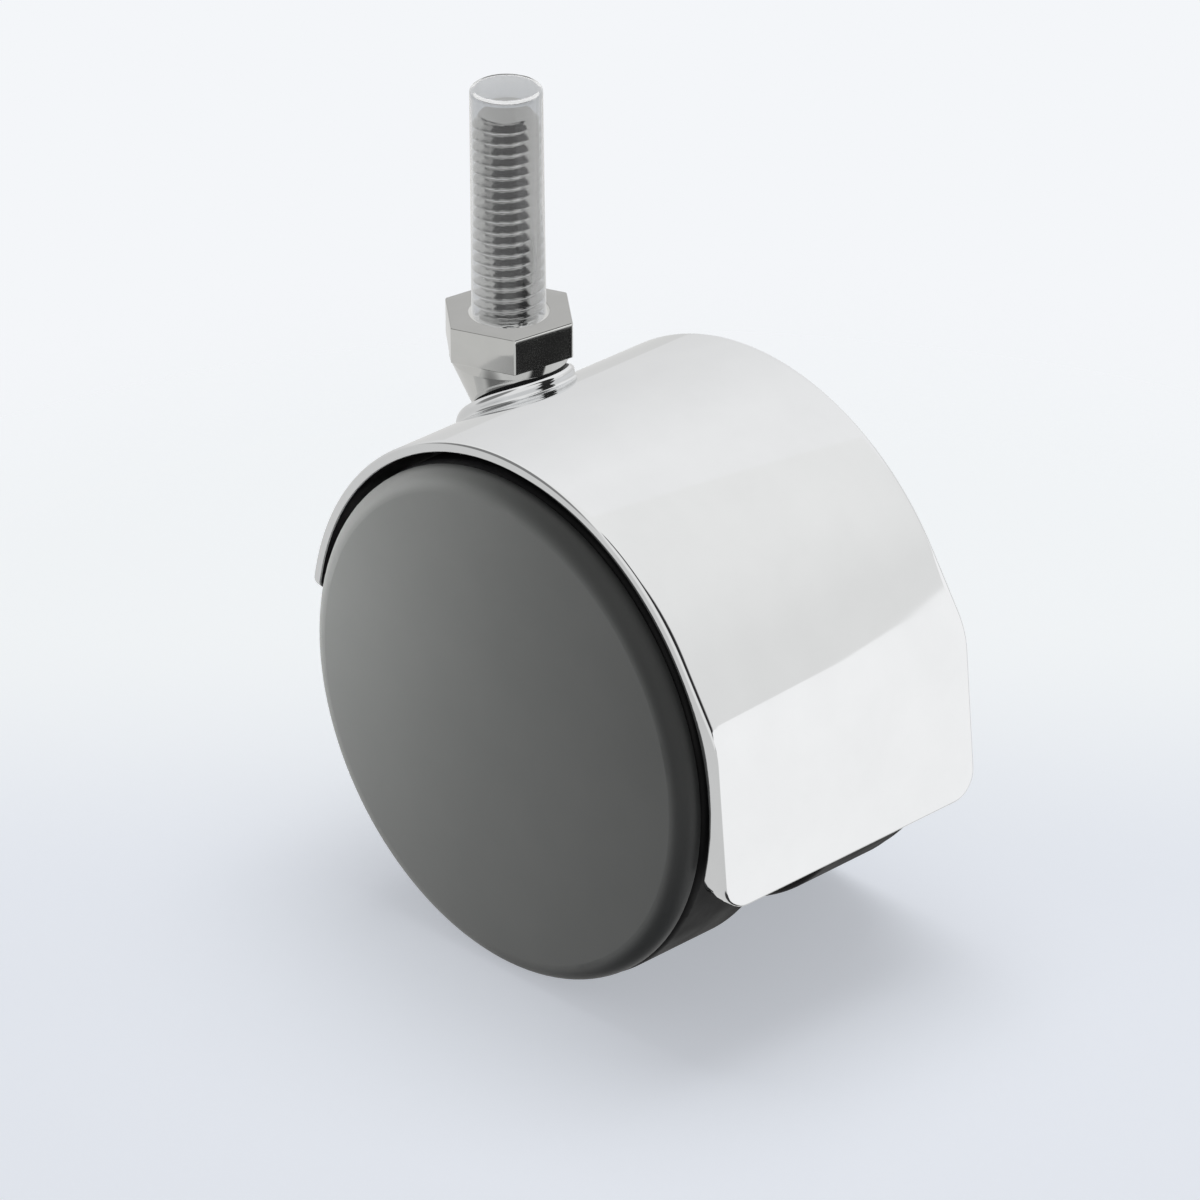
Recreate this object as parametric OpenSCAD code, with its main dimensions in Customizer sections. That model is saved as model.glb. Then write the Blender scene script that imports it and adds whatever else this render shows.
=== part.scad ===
// Twin wheel castor with a hooded body and a threaded swivel stem. Sizes are in millimetres.
// The origin is the centre of the hex collar's top face, on the swivel axis.
// +Z runs up the stem, +X points to the trailing wheels and +Y runs along the axle.

/* [Wheels] */
// Diameter over the tyre
wheel_d = 63.5; // [56:0.5:76]
// Width of one wheel, from its inner side to its face
wheel_w = 16.6; // [15:0.1:19]
// Clear width between the two wheels
wheel_gap = 12.2; // [11:0.1:15]
// Thickness of the tyre on the rim
tyre_t = 3.2; // [2.4:0.1:4.5]
// Rounding of the tyre's two shoulders
tyre_edge_r = 1.2; // [0.4:0.1:2]
// Thickness of the rim under the tyre
rim_t = 2.2; // [1.5:0.1:3]
// Height of the ridge on the rim that locks the tyre
lock_h = 0.8; // [0.4:0.1:1.4]
// Width of the ridge on the rim that locks the tyre
lock_w = 5; // [3:0.5:8]
// Diameter of the wheel's hub
hub_d = 13; // [11:0.5:16]
// Thickness of the disc between hub and rim
disc_t = 2; // [1.5:0.1:3]
// Number of ribs between hub and rim
rib_count = 6; // [3:1:12]
// Thickness of each rib
rib_t = 1.6; // [1:0.1:3]
// How far the ribs stop short of the wheel's inner side
rib_setback = 1.4; // [0.5:0.1:4]

/* [Face covers] */
// Thickness of the cover disc
cover_t = 2; // [1.4:0.1:2.4]
// Rounding of the cover's outer edge
cover_edge_r = 2.5; // [2.4:0.1:3.5]
// How far the cover's edge lies inside the tread
cover_inset = 0.15; // [0.05:0.05:0.6]
// Wall of the ring that snaps into the rim
spigot_t = 1.4; // [1:0.1:2]
// Length of the ring that snaps into the rim
spigot_l = 3; // [2:0.1:3.6]

/* [Axle] */
// Diameter of the axle pin
axle_d = 6.35; // [5:0.05:8]
// Room between the hub's outer end and the cover, for the clip and the axle's end
end_room = 3.6; // [3.2:0.1:5]
// Diameter of the push-on clip
axle_clip_d = 12.4; // [11:0.1:13]
// Thickness of the push-on clip's sheet
axle_clip_t = 0.5; // [0.3:0.1:0.8]
// Height of the push-on clip's raised teeth
axle_clip_h = 1.3; // [1:0.1:1.6]
// Number of teeth on the push-on clip
axle_clip_teeth = 6; // [4:1:8]
// Diameter of the spacer washer beside the axle boss
spacer_d = 12; // [10:0.5:14]
// Thickness of the spacer washer beside the axle boss
spacer_t = 0.6; // [0.4:0.1:1.2]

/* [Hood] */
// Radial gap between the tread and the hood
hood_gap = 1.3; // [0.8:0.1:2.5]
// Wall of the hood
hood_wall = 1.25; // [1:0.05:2]
// How far the wheel faces stand out past the hood's edges
face_proud = 2.4; // [1.5:0.1:3.5]
// Height of the hood's front edge over the axle
front_edge_z = 4.9; // [0:0.1:12]
// Depth of the tail's bottom edge under the axle
tail_depth = 10.7; // [8:0.1:14]
// Angle over the axle at which the tail leaves the round top
tail_angle = 33; // [28:1:38]
// Lean of the tail's lower face
skirt_lean = 5; // [3:1:8]
// How far the tail's lower face lies outside the round top
skirt_out = 0.76; // [0.5:0.02:1.5]
// Rounding of the bend in the tail
knee_r = 10; // [6:0.5:14]
// Rounding of the tail's two bottom corners
tail_corner_r = 3.4; // [2:0.1:5]
// Width of the thickened lip along each side of the tail
lip_w = 1.6; // [1:0.1:3]
// Thickness of the web between the wheels
web_t = 5; // [4:0.1:7]
// Diameter of the boss that holds the axle
axle_boss_d = 15; // [13:0.5:18]
// Diameter of the raised rim around the stem's hole
pad_d = 14; // [13.6:0.1:15]
// Height of the raised rim around the stem's hole
pad_h = 1.5; // [0.8:0.1:2]
// Shift of the raised rim towards the wheels
pad_shift = 0.9; // [0.8:0.1:1.2]

/* [Swivel] */
// Distance from the swivel axis to the axle
swivel_offset = 21; // [17:0.5:23]
// Diameter of the pintle inside the hood
pintle_d = 6.35; // [5.5:0.05:6.6]
// Wall of the swivel bush
bush_wall = 0.7; // [0.5:0.05:0.8]
// Thickness of the swivel bush's lower flange
bush_flange_t = 0.9; // [0.6:0.1:1.5]
// Length of the swivel boss under the thrust washer
boss_l = 10.5; // [8:0.5:12]
// Room between the swivel boss and each wheel
boss_room = 0.5; // [0.4:0.1:0.8]
// Depth of the thrust washer's seat under the lowest point of the stem's hole
seat_land = 1.4; // [1.2:0.1:2]
// Thickness of the thrust washer
thrust_t = 0.8; // [0.5:0.1:1.2]
// Thickness of the clip on the pintle
stem_clip_t = 0.9; // [0.6:0.1:1.2]
// Depth of the clip's groove in the pintle
groove_depth = 0.7; // [0.4:0.1:1]
// Length of the pintle below its clip
pintle_end = 1.6; // [1:0.1:3]

/* [Stem] */
// Outside diameter of the thread
thread_d = 7.9; // [7:0.05:9]
// Length of the thread over the collar
thread_l = 25.4; // [19:0.1:38.1]
// Chamfer on the thread's end
thread_chamfer = 0.9; // [0.5:0.1:1.3]
// Hex collar across its flats
hex_af = 14.29; // [13.5:0.01:15.5]
// Height of the hex collar
hex_h = 4.5; // [3.5:0.1:6]
// Turn of the hex collar about the stem
hex_turn = 21.6; // [0:0.1:60]
// Height of the round shoulder under the hex
shoulder_h = 1.3; // [0.8:0.1:2]
// Length from the round shoulder to the hood, on the swivel axis
neck_l = 5.94; // [5.4:0.02:8]
// Length of the neck's taper
taper_l = 7; // [6.5:0.1:8]
// Diameter of the neck under its taper
neck_d = 8; // [7.8:0.05:8.4]
// Depth of the relief around the thread's foot
relief_depth = 0.4; // [0.2:0.1:0.8]

/* [Thread protector] */
// Wall of the protector at its mouth
protector_wall = 0.38; // [0.3:0.02:0.6]
// Wall of the protector at its closed end
protector_tip_wall = 0.26; // [0.2:0.02:0.3]
// Thickness of the protector's closed end
protector_end_t = 0.9; // [0.6:0.1:1.5]
// Room between the thread's end and the protector's closed end
protector_room = 2.2; // [1:0.1:3.5]
// Rounding of the protector's closed end
protector_edge_r = 0.7; // [0.4:0.1:1.2]

/* [Hidden] */
// Clearances: turning fits, pressed or moulded seats, flat faces that pass, and faces that stay apart
run_gap = 0.05;
seat_gap = 0.02;
side_gap = 0.1;
free_gap = 0.35;
// Overlap that joins two shapes of one casting or moulding
bond = 0.2;
// How far a cut runs on past the shape that it cuts
overcut = 1;
$fn = 96;

// Wheels, with Y counted outwards from the middle plane
wheel_r = wheel_d / 2;
inner_y = wheel_gap / 2;
face_y = inner_y + wheel_w;
seam_y = face_y - cover_edge_r - side_gap;
rim_ro = wheel_r - tyre_t;
rim_ri = rim_ro - rim_t;
hub_end_y = face_y - cover_t - end_room;
disc_y = hub_end_y - disc_t;
rim_mid_y = (inner_y + seam_y) / 2;
shoulder_r = min(tyre_edge_r, tyre_t / 2);
cover_r = wheel_r - cover_inset;
axle_r = axle_d / 2;
axle_boss_y = inner_y - spacer_t - 2 * side_gap;
axle_end_y = face_y - cover_t - end_room / 4;
axle_chamfer = axle_d / 10;

// Hood
hood_ri = wheel_r + hood_gap;
hood_ro = hood_ri + hood_wall;
hood_w = 2 * (face_y - face_proud);
skirt_d = hood_ro + skirt_out;

// Swivel
hood_z = -(hex_h + shoulder_h + neck_l);
axle_z = hood_z - sqrt(pow(hood_ro, 2) - pow(swivel_offset, 2));
neck_r = neck_d / 2;
shoulder_ro = hex_af / 2 - side_gap;
stem_hole_r = neck_r + free_gap;
low_lip_z = axle_z + sqrt(pow(hood_ro, 2) - pow(swivel_offset + stem_hole_r, 2));
seat_z = low_lip_z - seat_land;
boss_z = seat_z - boss_l;
boss_r = inner_y - boss_room;
pintle_r = pintle_d / 2;
bush_r = pintle_r + run_gap + bush_wall;
bush_flange_r = boss_r - bond;
stem_clip_z = boss_z - bush_flange_t - side_gap - stem_clip_t;
stem_clip_r = bush_flange_r - bond;
groove_r = pintle_r - groove_depth;
pintle_z = stem_clip_z - pintle_end;
neck_end_z = seat_z + thrust_t + run_gap;
shoulder_z = -hex_h - shoulder_h;
taper_z = shoulder_z - taper_l;
thread_r = thread_d / 2;
protector_r = thread_r + run_gap + protector_wall;
protector_tip_r = thread_r + run_gap + protector_tip_wall;
relief_r = protector_r + free_gap;

// Where two lines cross: each is given by the angle of its normal and its distance from the origin
function crossing(a1, d1, a2, d2) =
    [d1 * sin(a2) - d2 * sin(a1), d2 * cos(a1) - d1 * cos(a2)] / sin(a2 - a1);

// Point at a distance along a direction
function polar(angle, distance) = distance * [cos(angle), sin(angle)];

// Places a shape made about Z on the axle, growing to the right (1) or the left (-1)
module on_axle(side) {
    translate([swivel_offset, 0, axle_z]) rotate([-90 * side, 0, 0]) children();
}

// Extrudes an outline seen from the side, with the axle at its origin, to a width about the middle plane
module across(width) {
    translate([swivel_offset, 0, axle_z])
        rotate([90, 0, 0]) linear_extrude(height = width, center = true) children();
}

// Ring profile for a turned piece
module ring_profile(r_in, r_out, low, high) {
    translate([r_in, low]) square([r_out - r_in, high - low]);
}

// Flat washer on the Z axis
module washer(r_in, r_out, thickness) {
    difference() {
        cylinder(r = r_out, h = thickness);
        translate([0, 0, -overcut]) cylinder(r = r_in, h = thickness + 2 * overcut);
    }
}

// Stem

// Hex collar with its lower corners chamfered and a relief around the thread's foot
module hex_collar() {
    corner_r = hex_af / 2 / cos(30);
    chamfer_slope = tan(60);
    difference() {
        translate([0, 0, -hex_h]) intersection() {
            rotate([0, 0, hex_turn]) cylinder(r = corner_r, h = hex_h, $fn = 6);
            cylinder(r1 = hex_af / 2, r2 = hex_af / 2 + hex_h * chamfer_slope, h = hex_h);
        }
        translate([0, 0, -relief_depth]) cylinder(r = relief_r, h = relief_depth + overcut);
    }
}

// Thread, round shoulder, tapered neck and pintle, turned from one bar with the hex collar
module threaded_stem() {
    color("silver") union() {
        hex_collar();
        rotate_extrude() polygon([
            [0, thread_l], [thread_r - thread_chamfer, thread_l], [thread_r, thread_l - thread_chamfer],
            [thread_r, -hex_h + bond], [shoulder_ro, -hex_h + bond], [shoulder_ro, shoulder_z],
            [neck_r, taper_z], [neck_r, neck_end_z], [pintle_r, neck_end_z],
            [pintle_r, stem_clip_z + stem_clip_t], [groove_r, stem_clip_z + stem_clip_t],
            [groove_r, stem_clip_z], [pintle_r, stem_clip_z], [pintle_r, pintle_z + groove_depth],
            [groove_r, pintle_z], [0, pintle_z]
        ]);
    }
}

// Clear cap pushed over the thread, a little narrower at its closed end
module thread_protector() {
    low = -relief_depth;
    roof = thread_l + protector_room;
    high = roof + protector_end_t;
    edge_z = high - protector_edge_r;
    edge_x = protector_tip_r - protector_edge_r;
    color("whitesmoke", 0.5) rotate_extrude() difference() {
        union() {
            polygon([[0, low], [protector_r, low], [protector_tip_r, edge_z], [0, edge_z]]);
            translate([0, edge_z - bond]) square([edge_x, protector_edge_r + bond]);
            intersection() {
                translate([edge_x, edge_z]) circle(r = protector_edge_r);
                translate([edge_x - bond, edge_z - bond]) square(2 * protector_edge_r);
            }
        }
        translate([0, low - overcut]) square([thread_r + run_gap, roof - low + overcut]);
    }
}

// Steel washer between the neck's end and the swivel boss
module thrust_washer() {
    color("silver") translate([0, 0, seat_z])
        washer(pintle_r + run_gap, stem_hole_r - side_gap, thrust_t);
}

// Spring clip in the pintle's groove, open on one side
module stem_clip() {
    mouth = 1.5 * groove_r;
    color("dimgray") translate([0, 0, stem_clip_z]) difference() {
        washer(groove_r + seat_gap, stem_clip_r, stem_clip_t);
        translate([0, -mouth / 2, -overcut])
            cube([stem_clip_r + overcut, mouth, stem_clip_t + 2 * overcut]);
    }
}

// Hood

// Side outline of the hood, moved inwards by an inset: round top, straight tail, bend and skirt
module hood_outline(inset) {
    r = hood_ro - inset;
    skirt = skirt_d - inset;
    bend_r = knee_r - inset;
    bend = crossing(tail_angle, r - bend_r, skirt_lean, skirt - bend_r);
    bottom_x = (skirt + hood_ro * sin(skirt_lean)) / cos(skirt_lean);
    circle(r = r);
    polygon([
        [0, 0], polar(tail_angle, r), bend + polar(tail_angle, bend_r),
        bend + polar(skirt_lean, bend_r), [bottom_x, -hood_ro], [0, -hood_ro]
    ]);
    translate(bend) circle(r = bend_r);
}

// Everything below the hood's front edge and the tail's bottom edge
module below_edges() {
    reach = 3 * wheel_d;
    translate([-reach, front_edge_z - reach]) square([reach, reach]);
    translate([-bond, -tail_depth - reach]) square([reach, reach]);
}

// Thin shell over both wheels, thickened to a lip along each side of the tail
module hood_shell() {
    difference() {
        across(hood_w) difference() {
            hood_outline(0);
            below_edges();
        }
        across(hood_w + 2 * overcut) circle(r = hood_ri);
        across(hood_w - 2 * lip_w) hood_outline(hood_wall);
        for (side = [-1, 1]) tail_corner(side);
    }
}

// What is cut away to round one bottom corner of the tail
module tail_corner(side) {
    depth = 2 * tail_corner_r;
    corner_y = side * (hood_w / 2 - tail_corner_r);
    corner_z = axle_z - tail_depth + tail_corner_r;
    translate([swivel_offset + hood_ri / 2, corner_y, corner_z])
        rotate([0, 90, 0]) difference() {
            translate([0, side > 0 ? 0 : -depth, 0]) cube([depth, depth, hood_ro]);
            translate([0, 0, -overcut]) cylinder(r = tail_corner_r, h = hood_ro + 2 * overcut);
        }
}

// Web between the wheels, open below the swivel boss and drawn down to the axle boss and the tail
module hood_web() {
    swivel_low = boss_z - axle_z;
    boss_low = -axle_boss_d / 2 + bond;
    across(web_t) intersection() {
        hood_outline(hood_wall / 2);
        polygon([
            [-2 * hood_ro, swivel_low], [boss_r - swivel_offset, swivel_low], [-axle_boss_d / 2, 0],
            [0, boss_low], [2 * hood_ro, boss_low], [2 * hood_ro, 2 * hood_ro], [-2 * hood_ro, 2 * hood_ro]
        ]);
    }
}

// Vertical boss for the stem with a raised rim where the stem enters, and the cross boss for the axle
module hood_bosses() {
    intersection() {
        translate([0, 0, boss_z]) cylinder(r = boss_r, h = -boss_z);
        across(hood_w) circle(r = hood_ro - hood_wall / 2);
    }
    intersection() {
        translate([pad_shift, 0, seat_z]) cylinder(d = pad_d, h = -seat_z);
        across(hood_w) difference() {
            circle(r = hood_ro + pad_h);
            circle(r = hood_ri + hood_wall / 2);
        }
    }
    across(2 * axle_boss_y) circle(d = axle_boss_d);
}

// Clearance for the stem's shoulder and tapered neck, then the thrust washer's seat and the bore for the bush
module stem_bore() {
    low = boss_z - overcut;
    mouth_r = shoulder_ro + free_gap;
    rotate_extrude() polygon([
        [0, low], [bush_r + seat_gap, low], [bush_r + seat_gap, seat_z], [stem_hole_r, seat_z],
        [stem_hole_r, taper_z], [mouth_r, shoulder_z], [mouth_r, 0], [0, 0]
    ]);
}

// Die-cast hood with its web and bosses, in one piece
module hood() {
    color("gainsboro") difference() {
        union() {
            hood_shell();
            hood_web();
            hood_bosses();
        }
        stem_bore();
        across(wheel_gap) circle(r = axle_r + seat_gap);
    }
}

// Plain bush pressed up into the swivel boss, with a flange under the boss
module swivel_bush() {
    color("ivory") difference() {
        union() {
            translate([0, 0, boss_z - bond]) cylinder(r = bush_r, h = seat_z - boss_z + bond - seat_gap);
            translate([0, 0, boss_z - bush_flange_t])
                cylinder(r = bush_flange_r, h = bush_flange_t - seat_gap);
        }
        translate([0, 0, boss_z - bush_flange_t - overcut])
            cylinder(r = pintle_r + run_gap, h = boss_l + bush_flange_t + 2 * overcut);
    }
}

// Wheels

// Pin through the axle boss that carries both wheels
module axle() {
    color("silver") on_axle(1) rotate_extrude() polygon([
        [0, -axle_end_y], [axle_r - axle_chamfer, -axle_end_y], [axle_r, axle_chamfer - axle_end_y],
        [axle_r, axle_end_y - axle_chamfer], [axle_r - axle_chamfer, axle_end_y], [0, axle_end_y]
    ]);
}

// Washer between the axle boss and a wheel's hub
module spacer(side) {
    color("silver") on_axle(side) translate([0, 0, axle_boss_y + side_gap])
        washer(axle_r + run_gap, spacer_d / 2, spacer_t);
}

// Moulded wheel body: rim with its locking ridge, disc, hub and ribs
module wheel_core(side) {
    color("dimgray") on_axle(side) union() {
        rotate_extrude() {
            ring_profile(rim_ri, rim_ro, inner_y + side_gap, seam_y - side_gap);
            ring_profile(rim_ro - bond, rim_ro + lock_h, rim_mid_y - lock_w / 2, rim_mid_y + lock_w / 2);
            ring_profile(hub_d / 2 - bond, rim_ri + bond, disc_y, hub_end_y);
            ring_profile(axle_r + run_gap, hub_d / 2, inner_y, hub_end_y);
        }
        for (i = [0 : rib_count - 1]) rotate([0, 0, (i + 0.5) * 360 / rib_count])
            translate([hub_d / 2 - bond, -rib_t / 2, inner_y + rib_setback])
                cube([rim_ri + 2 * bond - hub_d / 2, rib_t, disc_y + bond - inner_y - rib_setback]);
    }
}

// Tread moulded over the rim, with rounded shoulders and a groove for the rim's ridge
module tyre(side) {
    low = inner_y;
    high = seam_y - side_gap;
    edge_x = wheel_r - shoulder_r;
    color("black") on_axle(side) rotate_extrude() difference() {
        union() {
            ring_profile(rim_ro + seat_gap, edge_x, low, high);
            ring_profile(edge_x - bond, wheel_r, low + shoulder_r, high - shoulder_r);
            for (y = [low + shoulder_r, high - shoulder_r]) translate([edge_x, y]) circle(r = shoulder_r);
        }
        ring_profile(
            rim_ro - bond, rim_ro + lock_h + seat_gap,
            rim_mid_y - lock_w / 2 - seat_gap, rim_mid_y + lock_w / 2 + seat_gap
        );
    }
}

// Closed face of a wheel, with a rounded edge over the tyre's end and a ring that snaps into the rim
module face_cover(side) {
    edge_x = cover_r - cover_edge_r;
    edge_y = face_y - cover_edge_r;
    ring_r = rim_ri - seat_gap;
    color("gray") on_axle(side) rotate_extrude() {
        ring_profile(0, edge_x, face_y - cover_t, face_y);
        ring_profile(ring_r - spigot_t, edge_x, seam_y, face_y);
        ring_profile(ring_r - spigot_t, cover_r, seam_y, edge_y);
        ring_profile(ring_r - spigot_t, ring_r, seam_y - spigot_l, face_y - cover_t);
        intersection() {
            translate([edge_x, edge_y]) circle(r = cover_edge_r);
            translate([edge_x - bond, edge_y - side_gap / 2]) square(2 * cover_edge_r);
        }
    }
}

// Push-on clip that keeps a wheel on the axle: a flat rim and raised teeth that bite the axle
module axle_clip(side) {
    low = hub_end_y + side_gap;
    grip_r = axle_r + seat_gap;
    rim_r = (axle_clip_d / 2 + grip_r) / 2;
    slot_w = PI * axle_r / axle_clip_teeth / 2;
    color("dimgray") on_axle(side) difference() {
        rotate_extrude() polygon([
            [grip_r, low + axle_clip_h - axle_clip_t], [rim_r, low], [axle_clip_d / 2, low],
            [axle_clip_d / 2, low + axle_clip_t], [rim_r, low + axle_clip_t], [grip_r, low + axle_clip_h]
        ]);
        for (i = [0 : axle_clip_teeth - 1]) rotate([0, 0, i * 360 / axle_clip_teeth])
            translate([0, -slot_w / 2, low - overcut]) cube([rim_r, slot_w, axle_clip_h + 2 * overcut]);
    }
}

threaded_stem();
thread_protector();
thrust_washer();
stem_clip();
hood();
swivel_bush();
axle();
spacer(-1);  // left_spacer
spacer(1);  // right_spacer
wheel_core(-1);  // left_wheel_core
wheel_core(1);  // right_wheel_core
tyre(-1);  // left_tyre
tyre(1);  // right_tyre
face_cover(-1);  // left_face_cover
face_cover(1);  // right_face_cover
axle_clip(-1);  // left_axle_clip
axle_clip(1);  // right_axle_clip
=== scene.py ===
"""Looks of a twin wheel castor: chrome hood, plated stem with a clear thread cap, and two satin wheels.

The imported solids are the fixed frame. The hood, stem and thread cap are modelled again here with the soft
edges, screw thread and wall thickness that the eye sees, and every other solid keeps its shape and gets its
finish. Sizes are in millimetres, and are turned to metres where Blender takes them.
"""

import logging
import math
from collections.abc import Sequence
from dataclasses import dataclass, field
from enum import Enum
from typing import Any

import bmesh
import bpy
import numpy as np
from mathutils import Matrix, Vector
from mathutils.bvhtree import BVHTree
from mathutils.interpolate import poly_3d_calc


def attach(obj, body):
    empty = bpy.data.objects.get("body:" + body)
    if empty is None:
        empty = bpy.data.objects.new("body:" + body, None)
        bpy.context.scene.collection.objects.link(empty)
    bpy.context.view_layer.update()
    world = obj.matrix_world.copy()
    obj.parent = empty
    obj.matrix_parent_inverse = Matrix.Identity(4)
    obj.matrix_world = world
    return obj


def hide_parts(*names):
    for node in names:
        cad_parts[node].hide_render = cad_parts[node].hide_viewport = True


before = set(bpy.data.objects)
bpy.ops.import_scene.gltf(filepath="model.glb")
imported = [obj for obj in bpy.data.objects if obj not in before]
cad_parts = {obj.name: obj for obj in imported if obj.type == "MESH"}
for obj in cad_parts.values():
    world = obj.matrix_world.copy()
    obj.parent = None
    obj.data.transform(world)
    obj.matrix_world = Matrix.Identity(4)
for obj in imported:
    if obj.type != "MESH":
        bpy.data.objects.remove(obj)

LOG = logging.getLogger("castor")
MM = 0.001
MICRON = 1e-6
Pair = tuple[float, float]
Spot = tuple[float, float, float]
Border = list[tuple[float, float, float, float]]
# Middle of the axle, counted from the middle of the hex collar's top
AXLE: Spot = (21.0, 0.0, -38.86)
HEX_SIDES = 6
HEX_SECTOR = 360 / HEX_SIDES
# Points around a turned shape
ROUND_STEPS = 96
# Noise that draws the wander of tint and gloss: its detail, its roughness and the span of it that is used
PATCH_DETAIL = 4.0
PATCH_ROUGHNESS = 0.55
PATCH_SPAN = (0.3, 0.7)
# Detail of the noise that draws the grain
GRAIN_DETAIL = 2.0
# Socket numbers of the mix node: its two colours and their mix, and its two plain numbers
COLOUR_A, COLOUR_B, COLOUR_OUT = 6, 7, 2
NUMBER_A, NUMBER_B = 2, 3
# Parts a ray that hasn't bounced yet from one that has
HALF_BOUNCE = 0.5


class Body(str, Enum):
    """Bodies of the castor that move against each other."""

    STEM = "stem"
    CAP = "protector"
    HOOD = "hood"


class Side(Enum):
    """The two wheels, named as seen from behind the hood's tail."""

    LEFT = "left"
    RIGHT = "right"


class Join(str, Enum):
    """Ways in which one solid changes another."""

    ADD = "UNION"
    CUT = "DIFFERENCE"


def linear(code: str) -> tuple[float, float, float, float]:
    """Turns an sRGB hex colour into linear light.

    Args:
        code: Six hex digits.

    Returns:
        Linear red, green and blue, with an alpha of 1.
    """
    parts = [int(code[i : i + 2], 16) / 255 for i in (0, 2, 4)]
    light = [c / 12.92 if c <= 0.04045 else ((c + 0.055) / 1.055) ** 2.4 for c in parts]
    return (light[0], light[1], light[2], 1.0)


def add_node(
    tree: bpy.types.NodeTree,
    kind: str,
    settings: dict[str, Any] | None = None,
    inputs: dict[str | int, Any] | None = None,
) -> bpy.types.Node:
    """Adds one node with its settings, and links or sets its inputs.

    Args:
        tree: Node tree that takes the node.
        kind: Blender's name for the node's type.
        settings: Attributes of the node itself.
        inputs: Input name or number, to a socket that is linked or a value that is set.

    Returns:
        The new node.
    """
    node = tree.nodes.new(kind)
    for key, value in (settings or {}).items():
        setattr(node, key, value)
    for key, value in (inputs or {}).items():
        if isinstance(value, bpy.types.NodeSocket):
            tree.links.new(value, node.inputs[key])
        else:
            node.inputs[key].default_value = value
    return node


# Finishes


@dataclass(frozen=True)
class Finish:
    """A real surface: its colour, its gloss and the fine texture that its making leaves.

    The tint and gloss wander over patches of patch_mm, and the surface carries a relief of relief_um
    micrometres with a grain of grain_mm. Grain finer than the render can show is drawn coarser.
    """

    name: str
    colour: str
    worn_colour: str
    roughness: Pair
    patch_mm: float
    grain_mm: float
    relief_um: float
    metallic: float = 0.0
    ior: float = 1.5
    specular: float = 0.5
    stretch: tuple[float, float, float] = (1.0, 1.0, 1.0)

    def material(self) -> bpy.types.Material:
        """Makes the material.

        Returns:
            A node material with the finish's colour, gloss and relief.
        """
        made = bpy.data.materials.new(self.name)
        made.use_nodes = True
        tree = made.node_tree
        shader = tree.nodes["Principled BSDF"]
        place = add_node(tree, "ShaderNodeTexCoord").outputs["Object"]
        patches = add_node(
            tree,
            "ShaderNodeTexNoise",
            inputs={"Vector": place, "Scale": 1 / (self.patch_mm * MM),
                    "Detail": PATCH_DETAIL, "Roughness": PATCH_ROUGHNESS},
        ).outputs["Fac"]
        tint = add_node(
            tree,
            "ShaderNodeMix",
            {"data_type": "RGBA"},
            {"Factor": patches, COLOUR_A: linear(self.colour), COLOUR_B: linear(self.worn_colour)},
        )
        gloss = add_node(
            tree,
            "ShaderNodeMapRange",
            inputs={"Value": patches, "From Min": PATCH_SPAN[0], "From Max": PATCH_SPAN[1],
                    "To Min": self.roughness[0], "To Max": self.roughness[1]},
        )
        drawn = add_node(tree, "ShaderNodeMapping", inputs={"Vector": place, "Scale": self.stretch})
        grain = add_node(
            tree,
            "ShaderNodeTexNoise",
            inputs={"Vector": drawn.outputs["Vector"], "Scale": 1 / (self.grain_mm * MM),
                    "Detail": GRAIN_DETAIL},
        )
        relief = add_node(
            tree,
            "ShaderNodeBump",
            inputs={"Height": grain.outputs["Fac"], "Strength": 1.0,
                    "Distance": self.relief_um * MICRON},
        )
        tree.links.new(tint.outputs[COLOUR_OUT], shader.inputs["Base Color"])
        tree.links.new(gloss.outputs["Result"], shader.inputs["Roughness"])
        tree.links.new(relief.outputs["Normal"], shader.inputs["Normal"])
        shader.inputs["Metallic"].default_value = self.metallic
        shader.inputs["IOR"].default_value = self.ior
        shader.inputs["Specular IOR Level"].default_value = self.specular
        self.refine(shader)
        return made

    def refine(self, shader: bpy.types.Node) -> None:
        """Sets what only some finishes have; a plain finish sets nothing."""


@dataclass(frozen=True)
class ClearPolythene(Finish):
    """Clear soft plastic, a little milky, that shows the thread through its wall."""

    clearness: float = 0.95

    def refine(self, shader: bpy.types.Node) -> None:
        """Lets light through the wall."""
        shader.inputs["Transmission Weight"].default_value = self.clearness


# Bright chrome plate over a polished zinc casting: a clean mirror with a slow waviness from hand polishing
CHROME_PLATE = Finish(
    "chrome_plate_polished", "E4E5E6", "DCDDDE", roughness=(0.035, 0.06),
    patch_mm=9.0, grain_mm=7.0, relief_um=1.2, metallic=1.0,
)
# Inside of the casting, left as cast under a thin plate: dull and grainy, and dark with painted shade for
# the shadow inside the hood
CAST_ZINC_PAINTED_SHADE = Finish(
    "zinc_as_cast_painted_shade", "57585A", "4A4B4D", roughness=(0.4, 0.55),
    patch_mm=5.0, grain_mm=0.5, relief_um=12.0, metallic=1.0,
)
# Bright zinc plate over turned steel bar: mirror faces that blur a little, with fine lines from drawing
ZINC_PLATE = Finish(
    "zinc_plate_bright", "D8D8D6", "CECECC", roughness=(0.06, 0.11),
    patch_mm=3.0, grain_mm=0.35, relief_um=1.0, metallic=1.0, stretch=(1, 1, 0.12),
)
# The same plate on the bar's turned end and rolled thread: greyer, with a fine grain from the lathe
TURNED_ZINC = Finish(
    "zinc_plate_turned", "B0B0AE", "A8A8A6", roughness=(0.06, 0.11),
    patch_mm=3.0, grain_mm=0.35, relief_um=1.0, metallic=1.0,
)
# Ground steel pin and stamped washers: grey, with a soft sheen
BRIGHT_STEEL = Finish(
    "steel_ground", "A9A9A8", "969696", roughness=(0.22, 0.34),
    patch_mm=2.5, grain_mm=0.3, relief_um=1.5, metallic=1.0, stretch=(1, 0.2, 1),
)
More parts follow.
